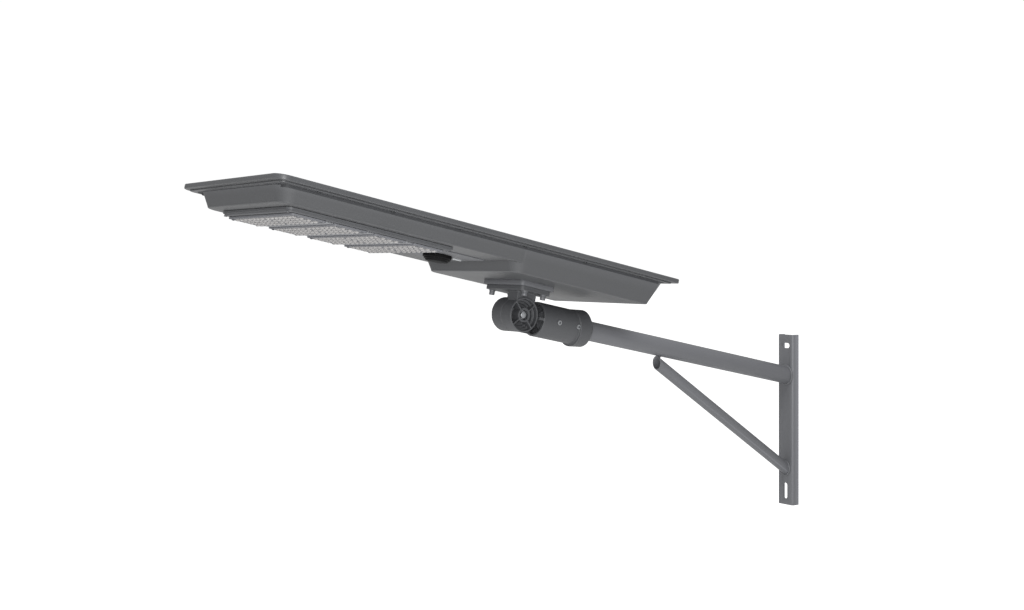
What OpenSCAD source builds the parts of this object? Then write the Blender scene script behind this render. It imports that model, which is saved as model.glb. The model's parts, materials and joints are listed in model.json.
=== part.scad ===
// Solar street lamp on a wall bracket: a channel with an arm and a brace, a tilting slip
// fitter, and a flat lamp head that holds a panel, a battery and four light modules.
// +Z is up. The wall face of the channel is the plane y = 0, and the lamp reaches to -Y.

/* [Wall bracket] */
// Height of the wall channel
channel_h = 468; // [380:1:600]
// Width of the wall channel
channel_w = 54; // [50:1:80]
// Depth of the channel's flanges, from the wall to the front of its web
channel_d = 24; // [20:1:40]
// Thickness of the channel's steel
channel_t = 4; // [3:0.5:6]
// Width of both wall slots
slot_w = 14; // [9:0.5:18]
// Length of the upper, level slot
top_slot_l = 30; // [20:1:36]
// Length of the lower, upright slot
low_slot_l = 44; // [20:1:60]
// Distance from the channel's top to the middle of the upper slot
top_slot_drop = 30; // [22:1:60]
// Distance from the channel's bottom to the middle of the lower slot
low_slot_rise = 38; // [30:1:70]

/* [Arm and brace] */
// Outer diameter of the arm
arm_od = 48; // [42:0.5:60]
// Wall of the arm's tube
arm_wall = 3; // [2:0.5:5]
// Slope of the arm above level, in degrees
arm_rise = 11.5; // [5:0.5:20]
// Height of the arm's root above the middle of the channel
arm_root = 123; // [80:1:150]
// Level distance from the wall to the tilt pivot
arm_reach = 951; // [800:1:1200]
// Outer diameter of the brace
brace_od = 30; // [22:0.5:38]
// Wall of the brace's tube
brace_wall = 2.5; // [1.5:0.5:4]
// Depth of the brace's root below the middle of the channel
brace_root = 134; // [80:1:150]
// Level distance from the wall to the brace's cut upper end
brace_reach = 503; // [400:1:620]
// Width of the weld beads
weld = 6; // [4:0.5:9]

/* [Slip fitter and knuckle] */
// Wall of the slip fitter's sleeve
fitter_wall = 17.5; // [12:0.5:22]
// Distance from the pivot to the sleeve's open front end
fitter_front = 58; // [54:1:75]
// Distance from the pivot to the sleeve's collar end
fitter_back = 214; // [200:1:240]
// Diameter of the knuckle barrel
knuckle_d = 80; // [76:1:84]
// Length of the knuckle barrel, across both halves
knuckle_l = 76; // [70:1:84]
// Diameter of the pivot bolt
pivot_bolt_d = 12; // [8:1:14]
// Diameter of the set screws
set_screw_d = 11; // [6:1:12]

/* [Lamp head] */
// Length of the head, over the panel frame
head_l = 1048; // [960:1:1240]
// Width of the head, over the panel frame
head_w = 470; // [450:1:560]
// Distance from the pivot to the head's front end
head_front = 764; // [700:1:900]
// Height of the head's top face above the pivot
head_top = 141.5; // [138:0.5:160]
// Height of the panel frame
frame_h = 10.5; // [9:0.5:14]
// Width of the frame's border around the glass
border = 15; // [12:1:20]
// Outer radius of the panel frame's front corners
frame_r = 27; // [24:1:40]
// Outer radius of the panel frame's rear corners
rear_r = 6; // [4:1:12]
// Half width of the housing where it meets the frame
tray_half = 200; // [190:1:215]
// Height of the housing's shallow part
tray_h = 35.5; // [30:0.5:45]
// Height of the battery box, from its bottom to the housing's rim
box_h = 57.5; // [54:0.5:64]
// Distance from the pivot to the battery box's front
box_reach = 160; // [152:1:162]
// Wall of the housing
tray_t = 3; // [2.5:0.5:4]

/* [Light modules] */
// Length of one light module, along the head
module_l = 77; // [60:1:84]
// Width of one light module, across the head
module_w = 300; // [240:1:310]
// Distance from one module to the next
module_pitch = 95; // [90:0.5:100]
// Number of lens rows in one module
lens_rows = 4; // [2:1:5]
// Number of lenses in one row
lens_cols = 14; // [8:2:16]
// Height of one lens above its plate
lens_h = 3; // [2:0.5:5]

/* [Sensor and button] */
// Diameter of the motion sensor's cover
sensor_d = 66; // [50:1:80]
// Height of the motion sensor's cover
sensor_h = 17; // [10:0.5:20]
// Length of the power button's cap
button_l = 25; // [16:1:27]
// Width of the power button's cap
button_w = 9; // [6:0.5:12]
// Travel of the power button
button_travel = 1.5; // [0.5:0.1:2]

/* [Fits] */
// Gap between the arm and the bore of the sleeve, on the radius
sleeve_gap = 0.35; // [0.3:0.05:0.6]
// Gap between the pivot bolt and the knuckle's bores, on the radius
pivot_gap = 0.08; // [0.05:0.01:0.1]
// Gap around the power button's cap
button_gap = 0.35; // [0.3:0.05:0.6]
// Gap between a screw's shank and the hole that clears it, on the radius
hole_gap = 0.3; // [0.2:0.05:0.5]
// Gap between a battery cell and its holder, on the radius
cell_gap = 0.1; // [0.05:0.05:0.3]
// Gap between a screw's thread and the hole it is driven into, on the radius
thread_gap = 0.05; // [0.02:0.01:0.1]

/* [Hidden] */
$fn = 64;
eps = 0.5;
arm_r = arm_od / 2;
brace_r = brace_od / 2;
arm_run = arm_reach - channel_d;
pivot_z = arm_root + arm_run * tan(arm_rise);
// The brace's slope comes from its cut end, whose top just touches the arm's underside.
brace_run = brace_reach - channel_d;
arm_under = arm_root + brace_run * tan(arm_rise) - arm_r / cos(arm_rise);
function brace_angle(n, a) =
    n == 0 ? a : brace_angle(n - 1, atan((arm_under - brace_r / cos(a) + brace_root) / brace_run));
brace_rise = brace_angle(8, 33);
brace_len = brace_run / cos(brace_rise);

fitter_r = arm_r + fitter_wall;
knuckle_r = knuckle_d / 2;
half_gap = 0.75;
collar_r = fitter_r + 3.5;
hub_r = 17;
cup_wall = 3.5;
spoke_t = 3;
pivot_head_r = 7.5;
pivot_head_h = 7;
pivot_seat = 12;
pivot_washer_t = 2;
nut_seat = 9;
nut_t = 6;
arm_end = fitter_front + 26;

frame_z = head_top - frame_h;
head_back = head_l - head_front;
glass_half = head_w / 2 - border;
glass_front = head_front - border;
glass_back = head_back - border;
glass_r = frame_r - border + 1;
glass_rear_r = 3;
tray_front = head_front - 24;
tray_back = head_back - 19;
rim_t = 3;
rim_half = head_w / 2 - 13;
tray_bottom = frame_z - tray_h;
box_bottom = frame_z - box_h;
box_front = box_reach;
tray_low_half = tray_half - 15;
tray_low_front = tray_front - 15;
box_low_half = tray_half - 22;
box_low_back = tray_back - 15;
box_low_front = box_front - 12;
cavity_lift = 0.2;
floor_z = tray_bottom + tray_t + cavity_lift;
box_floor = box_bottom + tray_t + cavity_lift;

plate_seal_t = 1;
plate_z = tray_bottom - 9.5;
plate_top = tray_bottom - plate_seal_t;
plate_half = module_w / 2 + 8;
plate_front = 694;
module_first = plate_front - 14 - module_l / 2;
module_count = 4;
plate_back = module_first - (module_count - 1) * module_pitch - module_l / 2 - 17;
window_edge = 5;
window_side = 10;
plate_r = 12;
lens_seal_t = 1;
lens_t = 4;
lens_z = plate_z - lens_seal_t - lens_t;
lens_pitch_x = (module_w - 24) / lens_cols;
lens_pitch_y = (module_l - 13) / lens_rows;
lens_r = min(lens_pitch_x, lens_pitch_y) / 2 - 1;
board_t = 1.6;
chip = 3;
chip_t = 0.8;
screw_r = 2;
lens_screw_r = 1.6;
lens_screw_bite = 6;

service_z = tray_bottom - 2;
service_half = 88;
service_back = box_front + 6;
service_front = plate_back - 4;
sensor_x = 238;
// The button sits midway between the sensor and the rear edge of the service panel.
button_y = -(sensor_x - sensor_d / 2 + service_back) / 2;
button_flange_t = 1;
button_proud = 2;
cap_top = floor_z + button_flange_t;
switch_h = 9;
switch_roof = floor_z + switch_h - 1.5;

adapter_t = 11;
adapter_w = 156;
adapter_l = 98;
bracket_t = 10.5;
bracket_w = 146;
bracket_l = 86;
bracket_shift = -2;
adapter_z = box_bottom - adapter_t;
bracket_z = adapter_z - bracket_t;
bolt_x = 64;
bolt_y = 27;
bolt_r = 4;
bolt_depth = 12;
neck_half = 27;
vent_r = 6;
vent_x = -140;
vent_y = 120;

cell_r = 16.25;
cell_l = 70.5;
cell_pitch = 33.5;
case_w = 150;
case_l = 52;
case_h = 30;
case_x = -case_w / 2;
case_y = -(box_low_front - 3 - tray_t - 4);
pack_front = case_y + case_l + 10;
cells_long = floor((box_low_back - 3 - tray_t - 35 - pack_front) / cell_pitch);
ranks = 3;
holder_t = 9;
rank_pitch = cell_l + holder_t - 6;
cell_z = box_floor + 13 + cell_r;
holder_top = cell_z + cell_r + 2;
holder_l = cells_long * cell_pitch + 8;
pack_y = pack_front + holder_l / 2;

// ---- Places ----

// The head and the fitter share one frame: the pivot is its origin, x runs across the lamp,
// y runs back along the arm to the wall, and z stands square to the arm.
module at_pivot() { translate([0, -arm_reach, pivot_z]) rotate([-arm_rise, 0, 0]) children(); }

// Along a tube that leaves the web at the given height and slope, local z runs outward.
module from_web(z, rise) { translate([0, -channel_d, z]) rotate([90 - rise, 0, 0]) children(); }

module at_module(i) { translate([0, -(module_first - i * module_pitch), 0]) children(); }

// ---- Shared shapes ----

module tube(r, wall, l) {
    difference() {
        cylinder(r = r, h = l);
        translate([0, 0, -eps]) cylinder(r = r - wall, h = l + 2 * eps);
    }
}

module ring(r_out, r_in, h) { tube(r_out, r_out - r_in, h); }

module along_x(x) { translate([x, 0, 0]) rotate([0, 90, 0]) children(); }

// A rectangle with one radius at its y0 corners and another at its y1 corners.
module round_rect(x0, x1, y0, y1, r, r1) {
    reach = (y1 - y0) / 2;
    union() {
        translate([x0 + r, y0]) square([x1 - x0 - 2 * r, reach]);
        translate([x0 + r1, y1 - reach]) square([x1 - x0 - 2 * r1, reach]);
        translate([x0, y0 + r]) square([x1 - x0, y1 - y0 - r - r1]);
        for (x = [x0 + r, x1 - r]) translate([x, y0 + r]) circle(r);
        for (x = [x0 + r1, x1 - r1]) translate([x, y1 - r1]) circle(r1);
    }
}

// A slab with rounded corners: half width, front and back distances, front and rear corner
// radii, lower height, thickness.
module slab(half, front, back, r, r_back, z, h) {
    translate([0, 0, z]) linear_extrude(h) round_rect(-half, half, -front, back, r, r_back);
}

module slot_hole(l, w, h) {
    union() {
        translate([-(l - w) / 2, -w / 2, 0]) cube([l - w, w, h]);
        for (s = [-1, 1]) translate([s * (l - w) / 2, 0, 0]) cylinder(d = w, h = h);
    }
}

// A round bar swept through a list of points, with flat ends and six sides.
function unit(v) = v / norm(v);
function sweep_dir(p, i) =
    unit(i == 0 ? p[1] - p[0] : i == len(p) - 1 ? p[i] - p[i - 1] : unit(p[i + 1] - p[i]) + unit(p[i] - p[i - 1]));
function sweep_side(d) = unit(cross(d, abs(d[2]) > 0.9 ? [1, 0.1, 0] : [0, 0.1, 1]));
function sweep_ring(p, i, r, n) =
    let (d = sweep_dir(p, i), s = sweep_side(d), t = cross(d, s))
    [for (k = [0:n - 1]) p[i] + r * (cos(360 * k / n) * s + sin(360 * k / n) * t)];
module wire(p, r, n = 8) {
    points = [for (i = [0:len(p) - 1]) each sweep_ring(p, i, r, n)];
    last = (len(p) - 1) * n;
    walls = [for (i = [0:len(p) - 2], k = [0:n - 1])
        [i * n + k, i * n + (k + 1) % n, (i + 1) * n + (k + 1) % n, (i + 1) * n + k]];
    polyhedron(points, concat([[for (k = [n - 1:-1:0]) k]], walls, [[for (k = [0:n - 1]) last + k]]));
}

module cap_screw(r, head_r, head_h, l) {
    difference() {
        union() {
            translate([0, 0, -head_h]) cylinder(r = head_r, h = head_h);
            cylinder(r = r, h = l);
        }
        translate([0, 0, -head_h - eps]) cylinder(r = head_r * 0.5, h = head_h * 0.55 + eps, $fn = 6);
    }
}

// ---- Wall bracket ----

module wall_channel() {
    color("#696a6c") difference() {
        translate([0, 0, -channel_h / 2]) linear_extrude(channel_h) difference() {
            union() {
                round_rect(-channel_w / 2, channel_w / 2, -channel_d, -channel_d + 14, 6, 6);
                translate([-channel_w / 2, -channel_d + 7]) square([channel_w, channel_d - 7]);
            }
            translate([-channel_w / 2 + channel_t, -channel_d + channel_t])
                square([channel_w - 2 * channel_t, channel_d]);
        }
        translate([0, -channel_d - eps, channel_h / 2 - top_slot_drop])
            rotate([-90, 0, 0]) slot_hole(top_slot_l, slot_w, channel_t + 2 * eps);
        translate([0, -channel_d - eps, -channel_h / 2 + low_slot_rise])
            rotate([-90, 0, 0]) rotate([0, 0, 90]) slot_hole(low_slot_l, slot_w, channel_t + 2 * eps);
    }
}

module outside_web() {
    difference() {
        children();
        translate([-100, -channel_d, -channel_h]) cube([200, 200, 2 * channel_h]);
    }
}

module arm_tube() {
    color("#78797c") outside_web() from_web(arm_root, arm_rise)
        translate([0, 0, -30]) tube(arm_r, arm_wall, 30 + arm_run / cos(arm_rise) - arm_end);
}

module brace_body(r) {
    from_web(-brace_root, brace_rise) translate([0, 0, -30]) cylinder(r = r, h = brace_len + 80);
}

module brace_tube() {
    color("#707174") outside_web() difference() {
        brace_body(brace_r);
        brace_body(brace_r - brace_wall);
        translate([-50, -brace_reach - 200, 0]) cube([100, 200, channel_h * 2]);
    }
}

module root_weld(z, rise, r) {
    outside_web() difference() {
        from_web(z, rise) translate([0, 0, -weld * 2]) cylinder(r1 = r + weld * 3, r2 = r, h = weld * 3);
        from_web(z, rise) translate([0, 0, -30]) cylinder(r = r, h = 100);
    }
}

module arm_weld() { color("#5c5e61") root_weld(arm_root, arm_rise, arm_r); }

module brace_welds() {
    color("#5c5e61") {
        root_weld(-brace_root, brace_rise, brace_r);
        // The upper bead fills the notch between the brace's cut end and the arm above it.
        difference() {
            translate([-6, -brace_reach + 1, arm_under - 6]) cube([12, 11, 10]);
            brace_body(brace_r);
            from_web(arm_root, arm_rise) cylinder(r = arm_r, h = arm_run);
        }
    }
}

// ---- Slip fitter ----

module slip_fitter() {
    color("#5f6164") at_pivot() difference() {
        union() {
            rotate([-90, 0, 0]) translate([0, 0, fitter_front])
                cylinder(r = fitter_r, h = fitter_back - fitter_front - 12);
            // The collar sits on a slightly sloping axis and tapers to the arm.
            translate([0, fitter_back - 46, -2.6]) rotate([-83, 0, 0]) cylinder(r = collar_r, h = 35);
            translate([0, fitter_back - 13, 1.2]) rotate([-86, 0, 0])
                cylinder(r1 = collar_r - 0.5, r2 = arm_r + 9, h = 13);
            along_x(-knuckle_l / 2) cylinder(r = knuckle_r, h = knuckle_l / 2 - half_gap);
            // The cheek that joins the far half of the barrel to the sleeve.
            intersection() {
                rotate([-90, 0, 0]) translate([0, 0, 10]) cylinder(r = fitter_r - 3, h = fitter_front);
                translate([-fitter_r, 0, -fitter_r]) cube([fitter_r - half_gap - 6, fitter_front + 20, 2 * fitter_r]);
            }
            // A pointer tab reaches from the sleeve's rim to the barrel.
            translate([34, fitter_front - 14, -3]) cube([6, 20, 6]);
        }
        rotate([-90, 0, 0]) translate([0, 0, fitter_front + 16])
            cylinder(r = arm_r + sleeve_gap, h = fitter_back);
        rotate([-90, 0, 0]) translate([0, 0, fitter_front - eps])
            cylinder(r = arm_r + 12, h = 20);
        along_x(-knuckle_l) cylinder(r = pivot_bolt_d / 2 + pivot_gap, h = knuckle_l * 2);
        along_x(-knuckle_l / 2 - eps) cylinder(r = 12, h = nut_seat + eps);
        for (s = [-1, 1], y = set_screw_places) translate([0, y, 0])
            along_x(s > 0 ? 0 : -fitter_r - 10) cylinder(r = set_screw_d / 2 + thread_gap, h = fitter_r + 10);
    }
}
set_screw_places = [104, 163];

module set_screws() {
    color("#8a8b8e") at_pivot() for (s = [-1, 1], y = set_screw_places)
        translate([0, y, 0]) rotate([0, s * 90, 0]) translate([0, 0, arm_r + hole_gap]) difference() {
            cylinder(r = set_screw_d / 2, h = fitter_wall + 0.7);
            translate([0, 0, fitter_wall - 6]) cylinder(r = set_screw_d * 0.27, h = 10, $fn = 6);
        }
}

module pivot_bolt() {
    color("#8d8f92") at_pivot() union() {
        along_x(-knuckle_l / 2 + 1) cylinder(r = pivot_bolt_d / 2, h = knuckle_l - 1 - pivot_seat + pivot_washer_t);
        along_x(knuckle_l / 2 - pivot_seat + pivot_washer_t) cylinder(r = pivot_head_r, h = pivot_head_h);
    }
}

module pivot_nut() {
    color("#8d8f92") at_pivot() along_x(-knuckle_l / 2 + nut_seat - pivot_washer_t - nut_t) difference() {
        cylinder(r = pivot_bolt_d * 0.9, h = nut_t, $fn = 6);
        translate([0, 0, -eps]) cylinder(r = pivot_bolt_d / 2, h = nut_t + 2 * eps);
    }
}

module pivot_washers() {
    color("#9a9b9e") at_pivot() {
        along_x(-knuckle_l / 2 + nut_seat - pivot_washer_t) ring(11.5, pivot_bolt_d / 2 + 0.1, pivot_washer_t);
        along_x(knuckle_l / 2 - pivot_seat) ring(11.5, pivot_bolt_d / 2 + 0.1, pivot_washer_t);
    }
}

module friction_disc() {
    color("#3a3b3d") at_pivot() along_x(-half_gap) ring(knuckle_r - 4, pivot_bolt_d / 2 + 0.4, half_gap);
}

// ---- Tilt bracket ----

module bracket_places() {
    for (x = [-bolt_x, bolt_x], y = [-bolt_y, bolt_y]) translate([x, y + bracket_shift, 0]) children();
}

module bracket_plate(w, l, z, t) {
    difference() {
        translate([0, 0, z]) linear_extrude(t)
            round_rect(-w / 2, w / 2, bracket_shift - l / 2, bracket_shift + l / 2, 9, 9);
        translate([0, 0, z - eps]) bracket_places() cylinder(r = bolt_r + hole_gap, h = t + 2 * eps);
    }
}

module tilt_bracket() {
    color("#5f6164") at_pivot() union() {
        bracket_plate(bracket_w, bracket_l, bracket_z, bracket_t);
        difference() {
            union() {
                along_x(0) cylinder(r = knuckle_r, h = knuckle_l / 2);
                translate([0, -neck_half, 0]) cube([knuckle_l / 2 - 2, 2 * neck_half, bracket_z + 1]);
            }
            // The open end of the barrel, stepped inside, with a hub and four spokes.
            along_x(knuckle_l / 2 - 13) knuckle_pocket(knuckle_r - cup_wall, 14);
            along_x(knuckle_l / 2 - 20) knuckle_pocket(knuckle_r - cup_wall - 5, 14);
            along_x(knuckle_l / 2 - 26) knuckle_pocket(knuckle_r - cup_wall - 10, 14);
            along_x(knuckle_l / 2 - pivot_seat) cylinder(r = 12, h = knuckle_l / 2);
            along_x(-eps) cylinder(r = pivot_bolt_d / 2 + pivot_gap, h = knuckle_l);
        }
    }
}

module knuckle_pocket(r, h) {
    difference() {
        cylinder(r = r, h = h + 6);
        translate([0, 0, -eps]) cylinder(r = hub_r, h = h + 8);
        for (a = [45, 135]) rotate([0, 0, a])
            translate([-knuckle_r, -spoke_t / 2, -eps]) cube([knuckle_d, spoke_t, h + 8]);
    }
}

module adapter_plate() {
    color("#66686b") at_pivot() bracket_plate(adapter_w, adapter_l, adapter_z, adapter_t);
}

module bracket_bolts() {
    color("#77787b") at_pivot() bracket_places() translate([0, 0, bracket_z - 4])
        cap_screw(bolt_r, 6.5, 8, bolt_depth + adapter_t + bracket_t + 2);
}

module bracket_washers() {
    color("#8a8b8e") at_pivot() bracket_places() {
        translate([0, 0, bracket_z - 1.8]) ring(8, bolt_r + 0.2, 1.8);
        translate([0, 0, bracket_z - 4]) ring(6.8, bolt_r + 0.2, 2.2);
    }
}

// ---- Housing ----

// The tapering outside of the shallow tray and of the battery box, moved in by a wall.
module tray_shell(inset) {
    hull() {
        slab(tray_half - inset, tray_front - inset, tray_back - inset, 38 - inset, 9 - inset,
             frame_z - 0.1, 0.1, $fn = 48);
        slab(tray_low_half - inset + 1.5, tray_low_front - inset + 2, tray_back - 12 - inset, 32 - inset, 8 - inset,
             tray_bottom + 4 + inset, 0.1, $fn = 48);
        slab(tray_low_half - inset - 2.5, tray_low_front - inset - 2, tray_back - 15 - inset, 28 - inset, 7 - inset,
             tray_bottom + inset, 0.1, $fn = 48);
    }
}

module box_shell(inset) {
    hull() {
        slab(tray_half - inset, box_front + 14 - inset, tray_back - inset, 34 - inset, 9 - inset,
             frame_z - 0.1, 0.1, $fn = 48);
        slab(box_low_half - inset + 1.5, box_low_front + 2 - inset, box_low_back + 2 - inset, 28 - inset, 8 - inset,
             box_bottom + 5 + inset, 0.1, $fn = 48);
        slab(box_low_half - inset - 3.5, box_low_front - 3 - inset, box_low_back - 3 - inset, 24 - inset, 7 - inset,
             box_bottom + inset, 0.1, $fn = 48);
    }
}

module lower_housing() {
    color("#6b6b6a") at_pivot() difference() {
        union() {
            difference() {
                union() {
                    tray_shell(0);
                    box_shell(0);
                    slab(rim_half, head_front - 13, head_back - 13, frame_r - 13, rear_r - 2,
                         frame_z - rim_t, rim_t - 0.1);
                }
                translate([0, 0, cavity_lift]) tray_shell(tray_t);
                translate([0, 0, cavity_lift]) box_shell(tray_t);
                slab(tray_half - 8, tray_front - 8, tray_back - 8, 30, 5, frame_z - 2, 3);
            }
            bracket_places() translate([0, 0, box_bottom + 1]) cylinder(r = 10, h = bolt_depth + 2);
        }
        bracket_places() translate([0, 0, box_bottom - eps]) cylinder(r = bolt_r + thread_gap, h = bolt_depth + 1);
        translate([0, button_y, tray_bottom - eps]) button_hole(tray_t + 3);
        frame_screw_places() translate([0, 0, frame_z - rim_t - eps]) cylinder(r = screw_r + hole_gap, h = rim_t + 1);
        plate_screw_places() translate([0, 0, tray_bottom - eps]) cylinder(r = screw_r + thread_gap, h = tray_t + 4);
        translate([vent_x, vent_y, box_bottom - eps]) cylinder(r = vent_r + thread_gap, h = 12);
    }
}

// ---- Panel ----

frame_screw_rows = 6;
module frame_screw_places() {
    x = tray_half + 12;
    for (s = [-1, 1], i = [0:frame_screw_rows - 1])
        translate([s * x, -head_front + 100 + i * (head_l - 200) / (frame_screw_rows - 1), 0]) children();
}

module panel_frame() {
    color("#707174") at_pivot() difference() {
        slab(head_w / 2, head_front, head_back, frame_r, rear_r, frame_z, frame_h);
        slab(glass_half + hole_gap, glass_front + hole_gap, glass_back + hole_gap, glass_r, glass_rear_r,
             frame_z + 4, frame_h);
        slab(glass_half - 22, glass_front - 22, glass_back - 22, 4, 4, frame_z - 1, frame_h);
        frame_screw_places() translate([0, 0, frame_z - eps]) cylinder(r = screw_r + thread_gap, h = 3.4 + eps);
    }
}

module frame_seal() {
    color("#2b2b2c") at_pivot() difference() {
        slab(glass_half - 2, glass_front - 2, glass_back - 2, glass_r, glass_rear_r, frame_z + 4, 0.8);
        slab(glass_half - 12, glass_front - 12, glass_back - 12, 4, 3, frame_z + 3, 3);
    }
}

module frame_screws() {
    color("#77787b") at_pivot() frame_screw_places() translate([0, 0, frame_z - rim_t])
        cap_screw(screw_r, 3.5, 2.4, rim_t + 3);
}

module panel_backsheet() {
    color("#e6e7e8") at_pivot()
        slab(glass_half - 1, glass_front - 1, glass_back - 1, glass_r, glass_rear_r, frame_z + 4.8, 0.7);
}

cell_rows = 9;
cell_cols = 4;
cell_space_x = 104;
cell_space_y = 109;
cell_clear = 2;
module solar_cells() {
    color("#1b2440") at_pivot() for (i = [0:cell_cols - 1], j = [0:cell_rows - 1])
        translate([(i - (cell_cols - 1) / 2) * cell_space_x,
                   (glass_back - glass_front) / 2 + (j - (cell_rows - 1) / 2) * cell_space_y, frame_z + 5.5])
            translate([-(cell_space_x - cell_clear) / 2, -(cell_space_y - cell_clear) / 2, 0])
                cube([cell_space_x - cell_clear, cell_space_y - cell_clear, 0.4]);
}

module panel_glass() {
    color("#39424d") at_pivot()
        slab(glass_half, glass_front, glass_back, glass_r, glass_rear_r, frame_z + 5.9, 3.6);
}

module junction_box() {
    color("#232324") at_pivot() translate([-50, -430, frame_z + 4.8 - 16]) union() {
        cube([100, 62, 16]);
        translate([30, 62, 4]) cube([8, 6, 8]);
        translate([62, 62, 4]) cube([8, 6, 8]);
    }
}

// ---- Light modules ----

module plate_screw_places() {
    y0 = (plate_front - 6);
    for (s = [-1, 1], i = [0:module_count]) {
        y = i == 0 ? y0 : i == module_count ? plate_back + 7 : module_first - (i - 0.5) * module_pitch;
        translate([s * (plate_half - 12), -y, 0]) children();
    }
}

// The opening in front of one board, narrower by the inset on every side.
module window(inset, h) {
    x = module_w / 2 - window_side - inset;
    y = module_l / 2 - window_edge - inset;
    translate([-x, -y, 0]) cube([2 * x, 2 * y, h]);
}

module light_plate() {
    color("#606265") at_pivot() difference() {
        union() {
            slab(plate_half, plate_front, -plate_back, plate_r, 6, plate_z + 3, plate_top - plate_z - 3);
            slab(plate_half - 3, plate_front - 3, -plate_back - 3, plate_r - 3, 4, plate_z, 4);
        }
        for (i = [0:module_count - 1]) at_module(i)
            translate([0, 0, plate_z - eps]) window(0, plate_top - plate_z + 2 * eps);
        for (i = [0:module_count - 1]) at_module(i) lens_screw_places() translate([0, 0, plate_z - eps])
            cylinder(r = lens_screw_r + thread_gap, h = lens_screw_bite + eps);
        plate_screw_places() translate([0, 0, plate_z - eps])
            cylinder(r = screw_r + hole_gap, h = plate_top - plate_z + 2 * eps);
    }
}

module light_plate_seal() {
    color("#2b2b2c") at_pivot() difference() {
        slab(plate_half - 1, plate_front - 1, -plate_back - 1, plate_r - 1, 5, plate_top, plate_seal_t);
        slab(plate_half - 5, plate_front - 5, -plate_back - 5, plate_r - 5, 3, plate_top - 1, 3);
        plate_screw_places() translate([0, 0, plate_top - 1]) cylinder(r = screw_r + hole_gap, h = 3);
    }
}

module light_plate_screws() {
    color("#77787b") at_pivot() plate_screw_places() translate([0, 0, plate_z])
        cap_screw(screw_r, 3.6, 2, tray_bottom - plate_z + tray_t + 1);
}

module led_board(i) {
    color("#dfe3dd") at_pivot() at_module(i)
        translate([0, 0, tray_bottom - board_t]) window(1, board_t);
}

// Two blocks of lenses with a wider gap between them, in straight rows.
module lens_places() {
    for (c = [0:lens_cols - 1], r = [0:lens_rows - 1])
        translate([(c - (lens_cols - 1) / 2) * lens_pitch_x + (c < lens_cols / 2 ? -3 : 3),
                   (r - (lens_rows - 1) / 2) * lens_pitch_y, 0]) children();
}

module led_chips() {
    color("#f2e7b0") at_pivot() for (i = [0:module_count - 1]) at_module(i) lens_places()
        translate([-chip / 2, -chip / 2, tray_bottom - board_t - chip_t]) cube([chip, chip, chip_t]);
}

module lens_plate(i) {
    sphere_r = (lens_r * lens_r + lens_h * lens_h) / (2 * lens_h);
    color("#d9dcdf", 0.6) at_pivot() at_module(i) union() {
        difference() {
            translate([0, 0, lens_z]) linear_extrude(lens_t)
                round_rect(-module_w / 2, module_w / 2, -module_l / 2, module_l / 2, 5, 5);
            lens_screw_places() translate([0, 0, lens_z - eps]) cylinder(r = lens_screw_r + hole_gap, h = lens_t + 2 * eps);
        }
        intersection() {
            translate([-module_w, -module_l, lens_z - lens_h - 1]) cube([2 * module_w, 2 * module_l, lens_h + 1.5]);
            lens_places() translate([0, 0, lens_z + sphere_r - lens_h]) sphere(r = sphere_r);
        }
    }
}

module lens_screw_places() {
    for (x = [-1, 1], y = [-1, 1])
        translate([x * (module_w / 2 - window_side / 2), y * (module_l / 2 - 10), 0]) children();
}

module lens_seals() {
    color("#2b2b2c") at_pivot() for (i = [0:module_count - 1]) at_module(i) difference() {
        translate([0, 0, lens_z + lens_t]) linear_extrude(lens_seal_t)
            round_rect(-module_w / 2 + 1, module_w / 2 - 1, -module_l / 2 + 1, module_l / 2 - 1, 4, 4);
        translate([0, 0, lens_z]) window(0, lens_t + lens_seal_t + eps);
        lens_screw_places() translate([0, 0, lens_z]) cylinder(r = lens_screw_r + hole_gap, h = 20);
    }
}

module lens_screws() {
    color("#8a8b8e") at_pivot() for (i = [0:module_count - 1]) at_module(i) lens_screw_places()
        translate([0, 0, lens_z]) cap_screw(lens_screw_r, 2.8, 1.6, lens_t + lens_seal_t + lens_screw_bite - 1);
}

// ---- Sensor and button ----

module button_hole(h) {
    rotate([0, 0, 90]) slot_hole(button_l + 2 * button_gap, button_w + 2 * button_gap, h);
}

module service_panel() {
    color("#646668") at_pivot() difference() {
        slab(service_half, service_front, -service_back, 8, 8, service_z, 2);
        translate([0, button_y, service_z - eps]) button_hole(4);
    }
}

module sensor_cover() {
    step = sensor_d / 2;
    color("#1e1e1e") at_pivot() translate([0, -sensor_x, service_z - sensor_h]) rotate_extrude()
        polygon([[0, 0], [step - 5, 0], [step - 3, 2.5], [step - 3.5, 2.5], [step - 1.5, 5.5], [step - 2, 5.5],
                 [step, 8.5], [step, sensor_h], [step - 6, sensor_h], [step - 6, 9], [step - 8, 3], [0, 3]]);
}

module sensor_board() {
    color("#2e6b3c") at_pivot() translate([0, -sensor_x, service_z - 1.6]) union() {
        cylinder(r = sensor_d / 2 - 6.5, h = 1.6);
        translate([-9, -9, -3]) cube([18, 18, 3]);
    }
}

module button_cap() {
    color("#a9abad") at_pivot() translate([0, button_y, 0]) union() {
        translate([0, 0, service_z - button_proud]) rotate([0, 0, 90])
            slot_hole(button_l, button_w, cap_top - service_z + button_proud - button_flange_t);
        translate([0, 0, cap_top - button_flange_t]) rotate([0, 0, 90])
            slot_hole(button_l + 4, button_w + 4, button_flange_t);
    }
}

module button_spring() {
    turns = 4;
    steps = 14;
    r = 3;
    wire_r = 0.4;
    rise = switch_roof - cap_top - 2 * wire_r;
    color("#9a9b9e") at_pivot() translate([0, button_y, cap_top + wire_r])
        wire([for (i = [0:turns * steps]) [r * cos(360 * i / steps), r * sin(360 * i / steps),
                                           rise * i / (turns * steps)]], wire_r, 6);
}

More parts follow.
